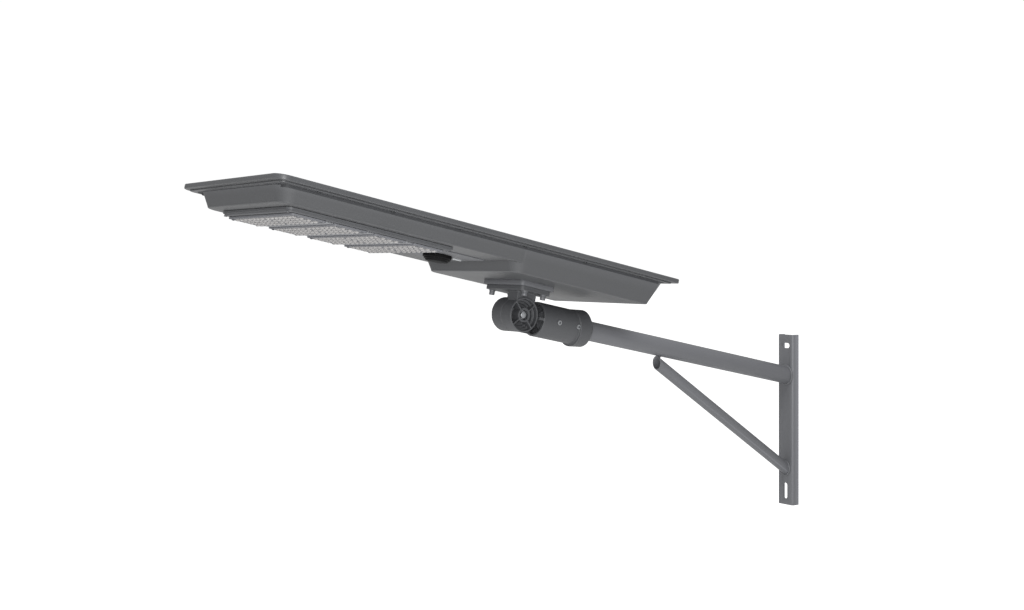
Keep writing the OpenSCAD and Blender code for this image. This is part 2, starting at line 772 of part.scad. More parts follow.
module button_switch() {
    w = button_w + 10;
    l = button_l + 10;
    color("#232324") at_pivot() translate([0, button_y, floor_z]) difference() {
        translate([-w / 2, -l / 2, 0]) cube([w, l, switch_h]);
        translate([-w / 2 + 2, -l / 2 + 2, -eps]) cube([w - 4, l - 4, switch_roof - floor_z + eps]);
    }
}

// ---- Battery and controller ----

module cell_places() {
    for (k = [0:ranks - 1], j = [0:cells_long - 1])
        translate([(k - (ranks - 1) / 2) * rank_pitch - cell_l / 2, pack_y + (j - (cells_long - 1) / 2) * cell_pitch,
                   cell_z]) rotate([0, 90, 0]) children();
}

module battery_cells() { color("#2f5f9e") at_pivot() cell_places() cylinder(r = cell_r, h = cell_l); }

module battery_holders() {
    color("#1f2022") at_pivot() difference() {
        for (k = [0:ranks]) translate([(k - ranks / 2) * rank_pitch - holder_t / 2, pack_y - holder_l / 2, box_floor])
            cube([holder_t, holder_l, holder_top - box_floor]);
        cell_places() cylinder(r = cell_r + cell_gap, h = cell_l);
    }
}

module battery_straps() {
    outer = ranks * rank_pitch / 2 + holder_t / 2;
    color("#8a8b8e") at_pivot() for (y = [pack_front + 28, pack_front + holder_l - 46]) union() {
        translate([-outer - 2, y, holder_top]) cube([2 * outer + 4, 18, 2]);
        for (s = [-1, 1]) {
            translate([s > 0 ? outer : -outer - 2, y, box_floor]) cube([2, 18, holder_top - box_floor + 1]);
            translate([s > 0 ? outer : -outer - 14, y, box_floor]) cube([14, 18, 2]);
        }
    }
}

module battery_board() {
    color("#2e6b3c") at_pivot() union() {
        translate([-85, 20, holder_top]) cube([150, 62, 1.6]);
        translate([-60, 40, holder_top + 1.6]) cube([24, 16, 2.5]);
        translate([10, 34, holder_top + 1.6]) cube([30, 24, 2]);
    }
}

module controller_case() {
    color("#9fa1a4") at_pivot() translate([case_x, case_y, box_floor]) difference() {
        cube([case_w, case_l, case_h]);
        translate([2, 2, 6]) cube([case_w - 4, case_l - 4, case_h]);
        translate([4, 4, 2]) cube([case_w - 8, case_l - 8, case_h]);
        translate([30, case_l - 5, case_h - 8]) cube([90, 10, 5]);
    }
}

module controller_board() {
    color("#2e6b3c") at_pivot() translate([case_x + 2.3, case_y + 2.3, box_floor + 6]) union() {
        cube([case_w - 4.6, case_l - 4.6, 1.6]);
        translate([14, 10, 1.6]) cube([22, 22, 12]);
        translate([60, 12, 1.6]) cylinder(r = 6, h = 14);
        translate([80, 12, 1.6]) cylinder(r = 6, h = 14);
        translate([104, 10, 1.6]) cube([26, 20, 8]);
    }
}

module controller_lid() {
    color("#8a8c8f") at_pivot() translate([case_x, case_y, box_floor + case_h]) cube([case_w, case_l, 2]);
}

module wire_harness() {
    r = 2.2;
    port_y = case_y + case_l;
    port_z = box_floor + case_h - 5.5;
    gland_z = frame_z + 4.8 - 8;
    color("#a02822") at_pivot() {
        // Panel lead: from the junction box's two glands, back over the tray to the controller.
        for (x = [-16, 16]) wire([[x, -362, gland_z], [x, -350, gland_z], [x * 1.1, -320, floor_z + 14],
            [x * 1.3, -280, floor_z + 6], [x * 2.2, -220, floor_z + 4], [x * 4, -170, floor_z + 4],
            [x * 5.4, -146, floor_z + 5], [x * 5.8, -118, box_floor + 14], [x * 5.6, -90, box_floor + 16],
            [x * 5.2, port_y + 5, port_z - 3], [x * 4.6, port_y + 5.5, port_z], [x * 2.5, port_y + 5.5, port_z],
            [x * 2.2, port_y + 3, port_z], [x * 2.2, port_y - 4, port_z]], r);
        // Battery lead: from the controller up to the battery board.
        wire([[-10, port_y - 4, port_z], [-10, port_y + 3, port_z], [-10, port_y + 5.5, port_z + 6],
              [-11, port_y + 7, holder_top + 2], [-12, port_y + 14, holder_top + 5],
              [-14, -20, holder_top + 4.8], [-16, 10, holder_top + 4.4], [-18, 26, holder_top + 1.6 + r]], r);
    }
}

module vent_plug() {
    color("#232324") at_pivot() translate([vent_x, vent_y, box_bottom]) union() {
        translate([0, 0, -4]) cylinder(r = vent_r + 3, h = 4);
        cylinder(r = vent_r, h = 5);
    }
}

wall_channel();
arm_tube();
brace_tube();
arm_weld();
brace_welds();
slip_fitter();
set_screws();
pivot_bolt();
pivot_nut();
pivot_washers();
friction_disc();
tilt_bracket();
adapter_plate();
bracket_bolts();
bracket_washers();
lower_housing();
panel_frame();
frame_seal();
frame_screws();
panel_backsheet();
solar_cells();
panel_glass();
junction_box();
light_plate();
light_plate_seal();
light_plate_screws();
led_board(0);  // led_board_1
led_board(1);  // led_board_2
led_board(2);  // led_board_3
led_board(3);  // led_board_4
led_chips();
lens_plate(0);  // lens_1
lens_plate(1);  // lens_2
lens_plate(2);  // lens_3
lens_plate(3);  // lens_4
lens_seals();
lens_screws();
service_panel();
sensor_cover();
sensor_board();
button_cap();
button_spring();
button_switch();
battery_cells();
battery_holders();
battery_straps();
battery_board();
controller_case();
controller_lid();
controller_board();
wire_harness();
vent_plug();
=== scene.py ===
# %% [markdown]
# # A solar street lamp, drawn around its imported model
#
# The model that this file loads holds every part of the lamp at its true size. A scene can
# either show those parts as they are or build better ones over them. Flat parts, tubes and
# screws are good as they are and only need soft edges and a finish. The big mouldings and the
# castings have rounded edges that catch the light, so this file builds those again as meshes.
# Everything is in metres, +Z is up, and the wall is the plane y = 0.

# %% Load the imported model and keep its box
import json
import math

import bmesh
import bpy
from mathutils import Matrix, Vector


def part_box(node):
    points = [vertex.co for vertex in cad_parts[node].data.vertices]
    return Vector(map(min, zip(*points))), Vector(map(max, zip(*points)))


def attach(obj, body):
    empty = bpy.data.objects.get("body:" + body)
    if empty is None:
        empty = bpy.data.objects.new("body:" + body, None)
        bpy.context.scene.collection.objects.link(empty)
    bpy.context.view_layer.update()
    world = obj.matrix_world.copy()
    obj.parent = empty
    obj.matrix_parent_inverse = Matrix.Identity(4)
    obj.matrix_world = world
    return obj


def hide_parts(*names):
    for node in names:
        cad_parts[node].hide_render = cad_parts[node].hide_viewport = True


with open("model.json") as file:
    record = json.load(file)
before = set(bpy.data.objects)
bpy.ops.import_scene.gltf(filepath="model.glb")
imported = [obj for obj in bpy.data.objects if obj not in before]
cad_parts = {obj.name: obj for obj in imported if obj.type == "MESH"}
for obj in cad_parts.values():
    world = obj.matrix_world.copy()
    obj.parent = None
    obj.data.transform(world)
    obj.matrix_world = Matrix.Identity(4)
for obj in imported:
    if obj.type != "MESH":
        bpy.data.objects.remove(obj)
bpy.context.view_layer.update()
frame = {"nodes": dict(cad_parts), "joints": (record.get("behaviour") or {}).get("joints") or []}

nodes = frame["nodes"]

# %% [markdown]
# ## The head's own frame
#
# The arm slopes upward and the whole head is square to it. Building a sloping box straight in
# the world would put sines and cosines in every line. It is simpler to build the head lying
# level, in millimetres, with the tilt pivot as its origin, and to turn the finished mesh once.
# The pivot and the slope are read from the roll joint, whose axis runs along the arm.

# %% The matrix from the head's frame to the world
MM = 0.001
roll = next(joint for joint in frame["joints"] if joint["name"] == "sleeve_roll")
pivot = Vector(roll["pos_m"])
arm_rise = math.atan2(roll["axis"][2], -roll["axis"][1])
to_world = Matrix.Translation(pivot) @ Matrix.Rotation(-arm_rise, 4, "X") @ Matrix.Scale(MM, 4)
to_head = to_world.inverted()


def head_box(name):
    """Lowest and highest corner of a model node in the head's frame, in millimetres."""
    points = [to_head @ vertex.co for vertex in nodes[name].data.vertices]
    low = Vector(min(point[i] for point in points) for i in range(3))
    high = Vector(max(point[i] for point in points) for i in range(3))
    return low, high


print("pivot:", [round(value, 4) for value in pivot], "slope:", round(math.degrees(arm_rise), 2))

# %% [markdown]
# ## Colours and shader nodes
#
# Colours are chosen as the sRGB hex values that a paint chart gives, but a renderer adds light
# in linear numbers, so one function turns the first into the second. A second function adds any
# shader node with its settings and its links. With those two, a material reads as a short list.

# %% Two helpers for materials
def paint(code):
    """The linear colour of an sRGB hex code."""
    parts = [int(code[i:i + 2], 16) / 255 for i in (1, 3, 5)]
    linear = [part / 12.92 if part <= 0.04045 else ((part + 0.055) / 1.055) ** 2.4
              for part in parts]
    return (*linear, 1.0)


def add(tree, kind, settings=(), links=()):
    """Adds a node. A key that names or numbers an input sets or links that input."""
    node = tree.nodes.new(kind)
    for key, value in dict(settings).items():
        if isinstance(key, int) or key in node.inputs:
            node.inputs[key].default_value = value
        else:
            setattr(node, key, value)
    for key, socket in dict(links).items():
        tree.links.new(socket, node.inputs[key])
    return node


print("middle grey in linear:", [round(value, 3) for value in paint("#808080")[:3]])

# %% [markdown]
# ## One recipe for most finishes
#
# Nearly every finish here is a base colour that drifts a little from place to place, a grain
# that is felt more than seen, and edges painted paler as a highlight. That could be written again
# for each material. It is clearer as one recipe that takes the real sizes in millimetres: how wide
# the slow drift of colour is, how wide the grain is and how deep. The object's own coordinates are
# in metres, so a pattern of a given size in millimetres has a scale of 1000 over that size. A
# noise texture's values crowd round a half, so each range is stretched from their middle part.

# %% The recipe: drift, grain and edges
def finish(name, base, drift, grain_mm, depth_mm, roughness, drift_mm=60.0, spread=0.12,
           edge=None, metallic=0.0, ior=None, more=()):
    """A surface with drifting colour, uneven gloss, a fine grain in relief and a painted highlight
    along its edges.
    """
    material = bpy.data.materials.new(name)
    material.use_nodes = True
    tree = material.node_tree
    shader = tree.nodes["Principled BSDF"]
    place = add(tree, "ShaderNodeTexCoord")
    slow = add(tree, "ShaderNodeTexNoise", {"Scale": 1000 / drift_mm, "Detail": 3.0},
               {"Vector": place.outputs["Object"]})
    fine = add(tree, "ShaderNodeTexNoise",
               {"Scale": 1000 / grain_mm, "Detail": 2.0, "Roughness": 0.6},
               {"Vector": place.outputs["Object"]})
    colour = add(tree, "ShaderNodeMix", {"data_type": "RGBA", 6: paint(base), 7: paint(drift)},
                 {0: slow.outputs["Fac"]})
    speck = add(tree, "ShaderNodeMapRange", {"From Min": 0.35, "From Max": 0.65, "To Min": 0.94,
                                             "To Max": 1.06}, {"Value": fine.outputs["Fac"]})
    toned = add(tree, "ShaderNodeVectorMath", {"operation": "SCALE"},
                {0: colour.outputs[2], "Scale": speck.outputs["Result"]})
    surface = toned.outputs[0]
    # Painted highlight: where Pointiness finds a convex edge, the colour turns to the paler edge
    # colour.
    if edge:
        corners = add(tree, "ShaderNodeNewGeometry")
        edge_highlight_mask = add(tree, "ShaderNodeMapRange", {"From Min": 0.52, "From Max": 0.62},
                     {"Value": corners.outputs["Pointiness"]})
        edge_highlight = add(tree, "ShaderNodeMix", {"data_type": "RGBA", 7: paint(edge)},
                   {0: edge_highlight_mask.outputs["Result"], 6: surface})
        surface = edge_highlight.outputs[2]
    tree.links.new(surface, shader.inputs["Base Color"])
    gloss = add(tree, "ShaderNodeMapRange", {"From Min": 0.3, "From Max": 0.7,
                                             "To Min": roughness * (1 - spread),
                                             "To Max": roughness * (1 + spread)},
                {"Value": slow.outputs["Fac"]})
    tree.links.new(gloss.outputs["Result"], shader.inputs["Roughness"])
    relief = add(tree, "ShaderNodeBump", {"Strength": 1.0, "Distance": depth_mm * MM},
                 {"Height": fine.outputs["Fac"]})
    tree.links.new(relief.outputs["Normal"], shader.inputs["Normal"])
    shader.inputs["Metallic"].default_value = metallic
    if ior:
        shader.inputs["IOR"].default_value = ior
    for key, value in dict(more).items():
        shader.inputs[key].default_value = value
    return material


# %% [markdown]
# ## The coats
#
# The bracket, the housing and the castings wear one grey polyester powder coat. It is sprayed as
# dry powder and baked, which leaves a matt skin with the dimples of orange peel. Real dimples are
# about half a millimetre wide. They are drawn two to four times as wide, because finer ones
# would vanish at this distance. The castings were rough before they were coated, so their grain
# is the coarsest.

# %% Powder coats
# Each coat's edge colour is a painted highlight along its convex edges.
steel_coat = finish("powder_coated_steel", "#555659", "#5a5b5e", 1.6, 0.045, 0.52,
                    edge="#6c6d72", ior=1.5)
housing_coat = finish("powder_coated_housing", "#434446", "#494a4c", 1.8, 0.05, 0.42, drift_mm=140,
                      edge="#595a5d", ior=1.5)
casting_coat = finish("powder_coated_casting", "#404144", "#464749", 2.2, 0.09, 0.56,
                      edge="#5e5f62", ior=1.5)
weld_coat = finish("powder_coated_weld", "#515255", "#57585b", 1.2, 0.06, 0.5, ior=1.5)
print("coats made")

# %% [markdown]
# ## Bright metals
#
# Screws are zinc-plated steel: pale, faintly cloudy where the plating was sealed, and never a
# mirror. The spring and the straps are drawn wire and rolled strip. Metals keep the shader's
# own IOR, and what tells them apart is how rough they are and how their colour drifts. Two
# kinds of screw show a coat instead of their metal: the bracket's bolts are powder-coated, and
# the frame's screws are blackened.

# %% Metals
zinc = finish("zinc_plated_steel", "#b2b4b7", "#c2c4c7", 0.9, 0.02, 0.42, drift_mm=6, spread=0.3,
              metallic=1.0)
# The bolt's pale edge colour is a painted highlight along its edges.
coated_bolt = finish("powder_coated_bolt", "#4b4c4f", "#545558", 1.2, 0.03, 0.46, drift_mm=8,
                     edge="#84858a", ior=1.5)
black_zinc = finish("black_zinc_plated_steel", "#242527", "#2c2d30", 0.8, 0.02, 0.6, drift_mm=5,
                    ior=1.5)
spring_wire = finish("drawn_spring_wire", "#a4a6a8", "#b4b6b8", 0.5, 0.01, 0.28, drift_mm=3,
                     metallic=1.0)
strip_steel = finish("rolled_stainless_strip", "#9fa1a3", "#b1b3b5", 0.7, 0.01, 0.34, drift_mm=9,
                     metallic=1.0)
cast_aluminium = finish("bare_cast_aluminium", "#a3a5a7", "#b3b5b7", 1.4, 0.05, 0.5, drift_mm=12,
                        metallic=1.0)
print("metals made")

# %% [markdown]
# ## Plastics, rubber and board
#
# Moulded plastic copies the mould's etched grain. Silicone and EPDM are darker, rougher and
# softer to the eye. A circuit board is glass cloth under a coloured mask, so its grain is as
# fine as the cloth's threads, a little over half a millimetre.

# %% Plastics and rubbers
black_abs = finish("moulded_black_abs", "#1c1c1d", "#232325", 0.9, 0.03, 0.42, ior=1.53)
grey_abs = finish("moulded_grey_abs", "#a5a7a9", "#b0b2b4", 0.8, 0.02, 0.4, drift_mm=8, ior=1.53)
holder_pp = finish("moulded_black_polypropylene", "#191a1b", "#202122", 1.1, 0.03, 0.5, ior=1.49)
seal_rubber = finish("extruded_silicone_seal", "#232324", "#2c2c2d", 0.8, 0.03, 0.78, ior=1.43)
friction_fibre = finish("pressed_friction_fibre", "#2b2927", "#3a3632", 0.7, 0.05, 0.85, ior=1.5)
shrink_sleeve = finish("blue_shrink_sleeve", "#24548f", "#2d609d", 1.5, 0.02, 0.3,
                       drift_mm=14, ior=1.54)
silicone_wire = finish("red_silicone_wire", "#8f1f1a", "#a32a24", 0.7, 0.02, 0.45,
                       drift_mm=10, ior=1.43)
green_board = finish("green_masked_board", "#1d5a30", "#256a3a", 0.6, 0.015, 0.3,
                     drift_mm=9, ior=1.55)
white_board = finish("white_masked_board", "#dfe0de", "#e9eae8", 0.7, 0.01, 0.35,
                     drift_mm=11, ior=1.55)
led_phosphor = finish("cast_led_phosphor", "#e5cf6a", "#efdc86", 0.4, 0.02, 0.35,
                      drift_mm=1.5, ior=1.43)
backsheet_film = finish("white_backsheet_film", "#e4e6e8", "#eef0f1", 1.0, 0.01, 0.4, ior=1.5)
sensor_shell = finish("satin_dark_polycarbonate", "#0a0a0b", "#101011", 1.6, 0.012, 0.7,
                      drift_mm=18, ior=1.585, more={"Specular IOR Level": 0.12})
print("materials so far:", len(bpy.data.materials))

# %% [markdown]
# ## Clear parts
#
# The light modules are injection-moulded polycarbonate: clear, a little milky because of the
# mould's texture, and bright where a lens bends the light. The lenses' base colour is far paler
# than the sheet's: partly the milky plastic, partly a painted highlight for that brightness. The
# panel's cover is rolled low-iron glass with faint dimples that stop glare. Glass this flat bends
# light too little to see, so it is drawn as a thin veil that is mostly see-through and still
# catches reflections.

# %% Polycarbonate optics and panel glass
# Painted highlight: the lenses' pale base colour is partly the milky plastic and partly painted
# brightness where a lens catches the light.
optic_painted_bright = finish("moulded_clear_polycarbonate_painted_bright", "#9b9998", "#a7a5a4", 2.5, 0.02, 0.22, drift_mm=30,
               ior=1.585, more={"Transmission Weight": 0.15})
optic_sheet = finish("etched_clear_polycarbonate", "#66676b", "#717276", 1.2, 0.03, 0.6,
                     drift_mm=30, ior=1.585, more={"Specular IOR Level": 0.25})
panel_cover = finish("rolled_low_iron_glass", "#0b0e12", "#10141a", 1.8, 0.006, 0.08, drift_mm=200,
                     ior=1.52, more={"Alpha": 0.3})
print("clear materials made")

# %% [markdown]
# ## Silicon cells
#
# A cell is a blue-black wafer crossed by hair-fine silver fingers, and the wafers differ a
# little in tint. The fingers could be modelled, but there would be thousands. A wave pattern
# across the cell draws them instead, one every two and a half millimetres, which is coarser
# than the real millimetre and a half so that they show.

# %% Silicon
FINGER_MM = 2.5
BANDS_PER_UNIT = 20 / math.tau  # a wave texture draws this many bands in one unit at a scale of 1
CELL_DRIFT_MM, PYRAMID_MM, PYRAMID_DEPTH_MM = 130, 0.8, 0.01
silicon = bpy.data.materials.new("textured_monocrystal_silicon")
silicon.use_nodes = True
tree = silicon.node_tree
shader = tree.nodes["Principled BSDF"]
place = add(tree, "ShaderNodeTexCoord")
fingers = add(tree, "ShaderNodeTexWave", {"wave_type": "BANDS", "bands_direction": "Y",
                                          "wave_profile": "SIN", "Distortion": 0.0,
                                          "Scale": 1000 / FINGER_MM / BANDS_PER_UNIT},
              {"Vector": place.outputs["Object"]})
line = add(tree, "ShaderNodeMapRange", {"From Min": 0.9, "From Max": 0.98},
           {"Value": fingers.outputs["Fac"]})
tint = add(tree, "ShaderNodeTexNoise", {"Scale": 1000 / CELL_DRIFT_MM, "Detail": 1.0},
           {"Vector": place.outputs["Object"]})
wafer = add(tree, "ShaderNodeMix", {"data_type": "RGBA", 6: paint("#0c1526"), 7: paint("#18233f")},
            {0: tint.outputs["Fac"]})
printed = add(tree, "ShaderNodeMix", {"data_type": "RGBA", 7: paint("#2f3d57")},
              {0: line.outputs["Result"], 6: wafer.outputs[2]})
tree.links.new(printed.outputs[2], shader.inputs["Base Color"])
pyramids = add(tree, "ShaderNodeTexNoise", {"Scale": 1000 / PYRAMID_MM},
               {"Vector": place.outputs["Object"]})
relief = add(tree, "ShaderNodeBump", {"Distance": PYRAMID_DEPTH_MM * MM},
             {"Height": pyramids.outputs["Fac"]})
tree.links.new(relief.outputs["Normal"], shader.inputs["Normal"])
shader.inputs["Roughness"].default_value = 0.32
shader.inputs["IOR"].default_value = 1.6
print("silicon made")

# %% [markdown]
# ## Meshes from outlines
#
# Most of the head is a rounded rectangle that changes as it goes down: the tray narrows, the
# frame has a lip, the light plate has a step. A loft joins a stack of such outlines into one
# skin. The edges between the steps are rounded in the profile itself, by a short curve in place
# of each corner, because that gives even highlights at any corner radius.

# %% Outlines, profiles and lofts
def outline(half, front, back, ahead, behind, height, steps=14):
    """A rounded rectangle: half width, reach to the front and back, and a radius for each end."""
    points = []
    for side, end, start in ((half, back, 0), (-half, back, 90), (-half, -front, 180),
                             (half, -front, 270)):
        rear = start < 180
        radius = behind if rear else ahead
        centre_x = side - math.copysign(radius, side)
        centre_y = end - math.copysign(radius, 1 if rear else -1)
        for i in range(steps + 1):
            angle = math.radians(start + 90 * i / steps)
            points.append(Vector((centre_x + radius * math.cos(angle),
                                  centre_y + radius * math.sin(angle), height)))
    return points


def round_corners(corners, closed=True, steps=4):
    """Turns (a, b, radius) corners into points, with a short curve at each corner."""
    points = []
    for i, (a, b, radius) in enumerate(corners):
        here = Vector((a, b))
        if radius <= 0 or (not closed and i in (0, len(corners) - 1)):
            points.append(here)
            continue
        before = Vector(corners[i - 1][:2]) - here
        after = Vector(corners[(i + 1) % len(corners)][:2]) - here
        start = here + before.normalized() * min(radius, before.length / 2)
        end = here + after.normalized() * min(radius, after.length / 2)
        for k in range(steps + 1):
            t = k / steps
            points.append(start * (1 - t) ** 2 + here * 2 * t * (1 - t) + end * t ** 2)
    return points


def loft(rings, closed=False):
    """One skin through a stack of equal rings. An open stack is capped at both ends."""
    mesh = bmesh.new()
    rows = [[mesh.verts.new(point) for point in ring] for ring in rings]
    for k in range(len(rows) if closed else len(rows) - 1):
        low, high = rows[k], rows[(k + 1) % len(rows)]
        for i in range(len(low)):
            j = (i + 1) % len(low)
            mesh.faces.new((low[i], low[j], high[j], high[i]))
    if not closed:
        mesh.faces.new(rows[0][::-1])
        mesh.faces.new(rows[-1])
    return mesh


print("an outline has", len(outline(10, 20, 20, 4, 4, 0)), "points")

# %% [markdown]
# ## From a mesh to a piece of the lamp
#
# A piece has a mesh, a finish, a body that it moves with, and the model nodes that it stands
# for. Flat faces beside rounded ones shade badly unless the flat ones keep their own normals,
# so each piece is shaded smooth, its real corners are marked sharp and its normals weighted.

# %% Making a piece
def piece(name, meshes, material, body, stands_for=(), place=to_world, corner=50):
    """Joins bmeshes into one object, in place, riding on its body."""
    data = bpy.data.meshes.new(name)
    whole = bmesh.new()
    for part in meshes:
        bmesh.ops.recalc_face_normals(part, faces=part.faces)
        part.to_mesh(data)
        whole.from_mesh(data)
        part.free()
    whole.to_mesh(data)
    whole.free()
    data.transform(place)
    dress(bpy.data.objects.new(name, data), material, body, stands_for, corner)


def dress(thing, material, body, stands_for=(), corner=50):
    """Gives a new object its finish and shading and ties it to the model."""
    bpy.context.scene.collection.objects.link(thing)
    thing.data.materials.clear()
    thing.data.materials.append(material)
    thing.data.shade_smooth()
    thing.data.set_sharp_from_angle(angle=math.radians(corner))
    weighted = thing.modifiers.new("flat faces stay flat", "WEIGHTED_NORMAL")
    weighted.keep_sharp = True
    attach(thing, body)
    if stands_for:
        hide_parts(*stands_for)
    print(thing.name, len(thing.data.vertices), "vertices")


# %% [markdown]
# ## The lower housing
#
# The housing is one casting with draft, so that it slides out of its mould: every wall leans in
# towards the bottom. A shallow tray holds the lights, and at the back a deeper box holds the
# battery. Each is a loft from a wide outline to a narrow one with a soft bottom edge. The two
# meet in a clean crease, as the casting's own walls do, and a thin rim carries the frame.

# %% Housing
def drafted_box(top, bottom, high, low, edge, steps=7):
    """From a wide outline down to a narrow one: each is half, front, back and two radii."""
    rings = []
    wall = (high - low - edge) / (high - low)
    for share in (0.0, 0.5, 1.0):
        rings.append([a + (b - a) * wall * share for a, b in zip(top, bottom)]
                     + [high + (low + edge - high) * share])
    foot = rings[-1][:5]
    for i in range(1, steps + 1):
        angle = math.pi / 2 * i / steps
        inset = edge * (1 - math.cos(angle))
        rings.append([side - inset for side in foot[:3]]
                     + [corner - inset * 0.6 for corner in foot[3:]]
                     + [low + edge * (1 - math.sin(angle))])
    return loft([outline(*ring) for ring in rings[::-1]])


# A box is (half width, front, back, front radius, rear radius). A profile gives, for each corner,
# how far out it lies, its height and the radius there.
frame_low, frame_high = head_box("panel_frame")
plate_low, plate_high = head_box("light_plate")
half, front, back = frame_high.x, -frame_low.y, frame_high.y
rim_z = frame_low.z
box_floor = head_box("lower_housing")[0].z
box_front = -head_box("service_panel")[1].y - 6
joint_gap, bottom_edge = 0.2, 4
plate_gap = 1.0

tray = drafted_box((half - 35, front - 24, back - 19, 38, 9),
                   (half - 51, front - 40, back - 33, 29, 7.5),
                   rim_z - joint_gap, plate_high.z + plate_gap, bottom_edge)
battery_box = drafted_box((half - 35, box_front + 14, back - 19, 34, 9),
                          (half - 59, box_front - 14, back - 36, 25, 7.5),
                          rim_z - joint_gap, box_floor, bottom_edge)

rim_inset, rim_width, rim_thick = 13, 30, 3
rim_profile = [(0, rim_z - rim_thick, 1.2), (0, rim_z - 0.15, 0.4), (-rim_width, rim_z - 0.15, 0),
               (-rim_width, rim_z - rim_thick, 0)]
flange = loft([outline(half - rim_inset + d, front - rim_inset + d, back - rim_inset + d,
                       max(14 + d, 3), max(4 + d, 2), z)
               for d, z in round_corners(rim_profile)], closed=True)
piece("housing_casting", [tray, battery_box, flange], housing_coat, "lamp_head",
      ["lower_housing"])

# %% [markdown]
# ## The dark strip round the rim
#
# A dark strip, drawn as a soft rubber gasket, lies in the corner under the housing's rim. It is
# painted shade: seen from below it is the one dark line round the whole head, where the rim's
# underside lies in shade. It could be painted into the coat. As a piece of its own it stands a
# little proud of the metal and keeps its own rubber look.

# %% Rim gasket, dark for the shade under the rim
# Painted shade: this dark rubber stands for the shade under the housing's rim.
rim_shade_rubber = finish("rubber_gasket_painted_rim_shade", "#2e2f32", "#36373a", 0.9, 0.03, 0.7, ior=1.5)
lip_z, hem_z, seat_z = rim_z - 3.9, rim_z - 7.5, rim_z - 3.05
gasket_profile = [(-12, seat_z, 0), (-12, lip_z, 0.4), (-20.4, lip_z, 0.6),
                  (-21.0, hem_z, 0.6), (-23.2, hem_z, 0), (-23.2, seat_z, 0)]
gasket = loft([outline(half - rim_inset + d, front - rim_inset + d, back - rim_inset + d,
                       max(30 + d, 8), max(6 + d, 2), z)
               for d, z in round_corners(gasket_profile)], closed=True)
piece("rim_gasket_painted_shade", [gasket], rim_shade_rubber, "lamp_head")

# %% [markdown]
# ## The panel frame
#
# The frame is a band with a soft outer edge, a flat top and a lip under the glass. One profile
# carried round the outline gives the whole band, corners and all, which a stack of boxes
# would not.

# %% Frame
glass_edge, ledge_end, ledge_z = -14.7, -37, frame_low.z + 4
lip = [(0, frame_low.z, 2.2), (0, frame_high.z, 2.6), (glass_edge, frame_high.z, 0.8),
       (glass_edge, ledge_z, 0), (ledge_end, ledge_z, 0.6), (ledge_end, frame_low.z, 0.6)]
band = loft([outline(half + d, front + d, back + d, max(27 + d, 4), max(6 + d, 2.5), z)
             for d, z in round_corners(lip)], closed=True)
piece("panel_frame_casting", [band], housing_coat, "lamp_head", ["panel_frame"])

# %% [markdown]
# ## The light plate
#
# The plate is a second, smaller casting with a stepped edge and four windows. A window cut by
# a boolean would leave long thin faces round the corners. The plate is built as it would be
# drawn instead: one band round the outside and three bars between the windows. The bars hang
# a little lower than the band, so that they still show between the lenses. Their coat is
# painted far paler than the band's: painted light in the narrow channels between the lenses.

# %% Light plate
modules = [head_box(f"lens_{i}") for i in (1, 2, 3, 4)]
window_side, window_end = 10, 5
open_half = modules[0][1].x - window_side
open_front = -modules[0][0].y - window_end
open_back = -modules[3][1].y + window_end
plate_half, plate_front, plate_back = plate_high.x, -plate_low.y, plate_high.y
top, bottom, step = plate_high.z, plate_low.z, plate_low.z + 3.4
edge_profile = round_corners([(0, top, 1.0), (0, step, 1.2), (-3, step, 0.5), (-3, bottom, 1.4)],
                             closed=False)
rings = [outline(plate_half + d, plate_front + d, plate_back + d, 12 + d, 6 + d, z)
         for d, z in edge_profile[:-1]]
rings.append(outline(plate_half - 4.4, plate_front - 4.4, plate_back - 4.4, 7.6, 3, bottom))
for height in (bottom, top):
    rings.append(outline(open_half, open_front, -open_back, 2, 2, height))
plate_band = loft(rings, closed=True)

# Painted light: the bars belong to the same casting as the band, but their coat is far paler, so
# that the channels between the lenses look lit. Their edge colour is a painted highlight too.
bar_coat_painted_light = finish("powder_coated_bar_painted_light", "#7c7d80", "#848588", 2.0, 0.05, 0.5, edge="#98999c",
                  ior=1.5)
bar_foot = bottom - 2.6
bar_profile = round_corners([(0, top, 0), (0, bar_foot, 0.9), (-0.9, bar_foot, 0)], closed=False,
                            steps=3)
bars = []
for ahead, behind in zip(modules, modules[1:]):
    bar_front, bar_back = -ahead[1].y + window_end, -behind[0].y - window_end
    bars.append(loft([outline(open_half + 2 + d, bar_front + d, -bar_back + d, 1.2, 1.2, z)
                      for d, z in bar_profile]))
piece("light_plate_bars", bars, bar_coat_painted_light, "lamp_head", ["light_plate"])
piece("light_plate_casting", [plate_band], casting_coat, "lamp_head", ["light_plate"])

# %% [markdown]
# ## The lens modules
#
# Each module is one clear moulding: a flat sheet with a raised rim and a grid of oblong lenses
# that throw the light sideways along the road. A lens is a low dome, longer across the head
# than along it. It is built ring by ring as a squashed ellipse, so that its crown is flat enough
# to shine as one spot.

# %% Lenses
def oblong_dome(x, y, base, long_half, short_half, height, rings=5, around=16):
    """A low elliptical dome that hangs below its base plane."""
    stack = []
    for k in range(rings + 1):
        angle = math.pi / 2 * k / (rings + 0.35)
        wide, deep = math.cos(angle), math.sin(angle)
        stack.append([Vector((x + long_half * wide * math.cos(math.tau * i / around),
                              y + short_half * wide * math.sin(math.tau * i / around),
                              base - height * deep)) for i in range(around)])
    return loft(stack)


